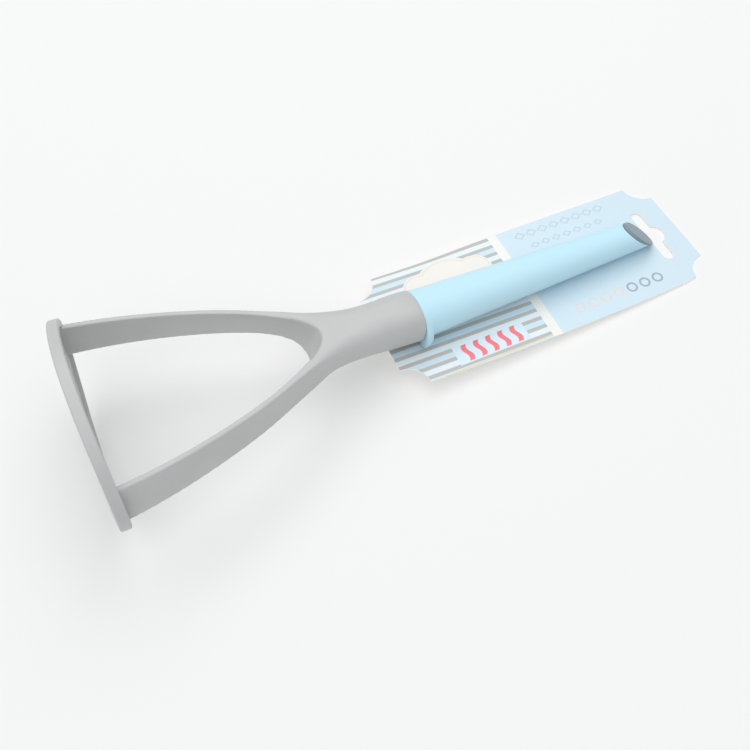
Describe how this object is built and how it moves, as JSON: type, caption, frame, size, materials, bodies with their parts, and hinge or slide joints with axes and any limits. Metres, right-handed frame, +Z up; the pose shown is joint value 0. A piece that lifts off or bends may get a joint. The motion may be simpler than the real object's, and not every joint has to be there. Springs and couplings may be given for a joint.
{
  "type": "potato masher",
  "caption": "Hand masher with a slotted, slightly bowed oval plate on a wishbone neck, a soft tapered handle with a flange at its front, and a card with a hang slot stuck under the handle",
  "frame": {"origin": "centre of the bounding box on the surface that the masher lies on", "axes": "+Z up; +X from the mashing plate to the handle's end, along the tool; +Y across, to the left of someone looking along +X"},
  "size_m": [0.2942, 0.0944, 0.0727],
  "materials": {
    "nylon": "fine satin moulding texture",
    "soft_grip": "matte soft-touch",
    "core_plastic": "matte",
    "cap_plastic": "satin",
    "steel": "brushed",
    "card": "printed card with a thin satin varnish",
    "foam": "matte foam"
  },
  "bodies": {
    "masher": {"mashing_plate": "nylon", "yoke": "nylon", "handle_core": "core_plastic", "handle_sleeve": "soft_grip", "end_cap": "cap_plastic", "tang_pin": "steel"},
    "card": {"retail_card": "card", "glue_pads": "foam"}
  },
  "joints": [
    {"name": "card_slide", "type": "slide", "parent": "masher", "child": "card", "axis": [0, -1, 0], "range_m": [0, 0.07]}
  ]
}
